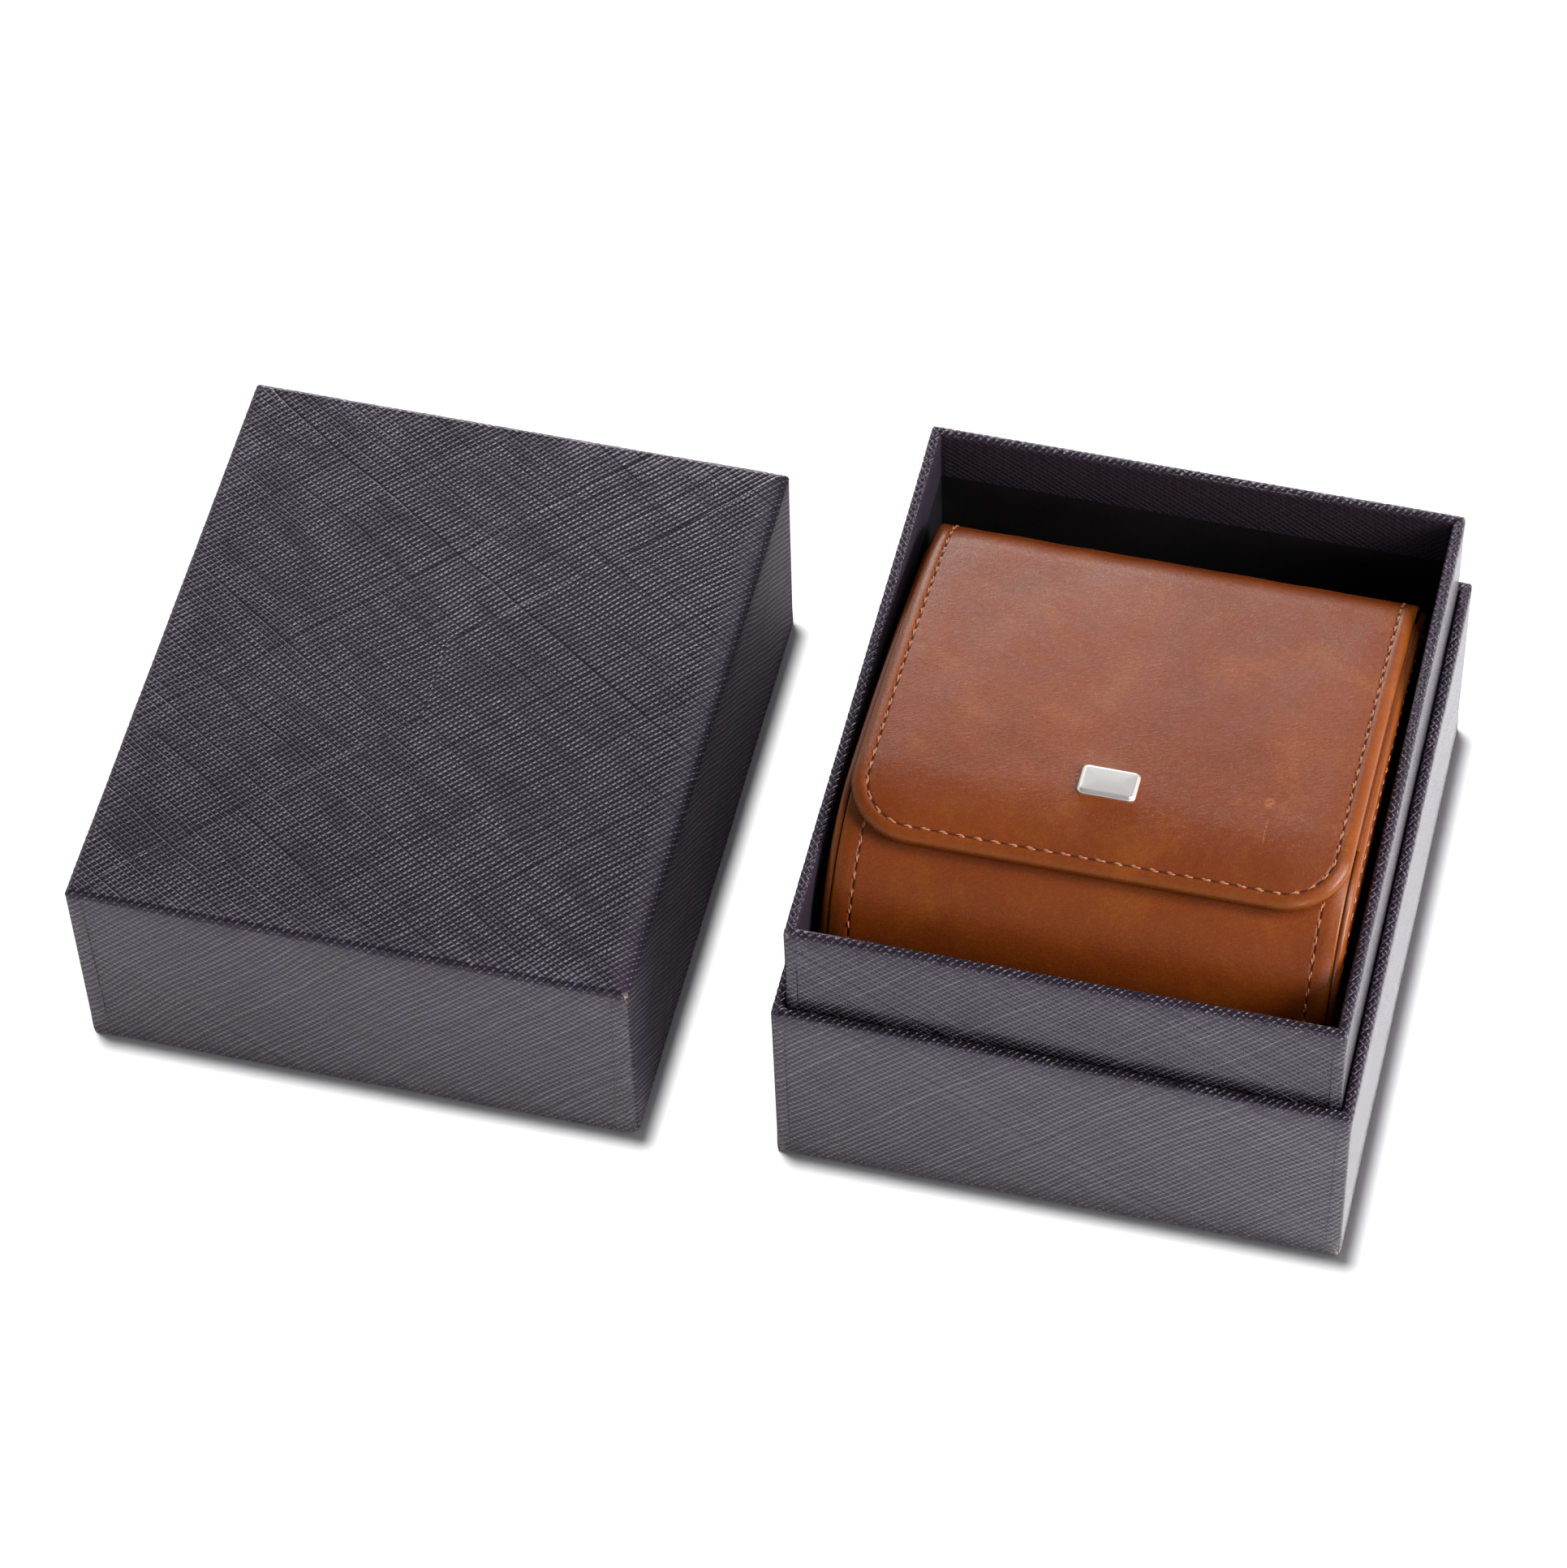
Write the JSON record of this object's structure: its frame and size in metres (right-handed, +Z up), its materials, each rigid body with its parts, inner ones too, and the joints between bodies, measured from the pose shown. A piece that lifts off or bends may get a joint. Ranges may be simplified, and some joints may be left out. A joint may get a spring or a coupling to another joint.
{
  "type": "watch presentation box with travel case",
  "caption": "Paper-covered rigid gift box with a raised neck and a lift-off lid, holding a stitched leather travel case whose flap opens over a watch cushion.",
  "frame": {"origin": "centre of the tray's underside, where the box stands", "axes": "+X to the tray's right, away from the lid; -Y towards the front, where the flap closes; +Z up"},
  "size_m": [0.258, 0.1375, 0.0835],
  "materials": {
    "outer_paper": "cross-grained embossed paper, satin",
    "rim_paper": "cross-grained embossed paper, worn satin along the fold",
    "inner_paper": "smooth black paper, low sheen",
    "stay_paper": "plain kraft stay paper, matt",
    "board": "grey rigid board, matt",
    "leather": "saddle-brown pull-up leather, fine grain, burnished edges",
    "suede": "short-napped microsuede lining",
    "thread": "waxed copper-coloured thread",
    "foam": "soft packing foam",
    "magnet": "nickel-plated steel",
    "badge_metal": "polished nickel plate"
  },
  "bodies": {
    "base": {"base_board": "board", "base_wrap": "outer_paper", "base_turn_ins": "rim_paper", "base_bottom_paper": "inner_paper", "base_corner_stays": "stay_paper", "neck_board": "board", "neck_wrap": "outer_paper", "neck_turn_ins": "rim_paper", "neck_lining": "inner_paper", "floor_foam": "foam", "floor_paper": "inner_paper"},
    "lid": {"lid_board": "board", "lid_wrap": "outer_paper", "lid_turn_ins": "rim_paper", "lid_lining": "inner_paper"},
    "travel_case": {"case_wrap": "leather", "case_board": "board", "case_lining": "suede", "end_board_left": "board", "end_board_right": "board", "end_leather_left": "leather", "end_leather_right": "leather", "end_lining_left": "suede", "end_lining_right": "suede", "cradle_foam": "foam", "cradle_suede": "suede", "case_magnet": "magnet", "wrap_stitches": "thread", "end_stitches": "thread"},
    "flap": {"flap_leather": "leather", "flap_board": "board", "flap_lining": "suede", "flap_magnet": "magnet", "flap_stitches": "thread", "badge_plate": "badge_metal", "badge_washer": "magnet"},
    "cushion": {"cushion_core": "foam", "cushion_cover": "suede", "cushion_end_caps": "suede"}
  },
  "joints": [
    {"name": "lid_lift", "type": "slide", "parent": "base", "child": "lid", "axis": [0, 0, 1], "range_m": [0, 0.09]},
    {"name": "case_lift", "type": "slide", "parent": "base", "child": "travel_case", "axis": [0, 0, 1], "range_m": [0, 0.09]},
    {"name": "flap_open", "type": "hinge", "parent": "travel_case", "child": "flap", "pos_m": [0, 0.04749, 0.06268], "axis": [-1, 0, 0], "range_deg": [0, 110]},
    {"name": "cushion_lift", "type": "slide", "parent": "travel_case", "child": "cushion", "axis": [0, 0, 1], "range_m": [0, 0.006]}
  ]
}
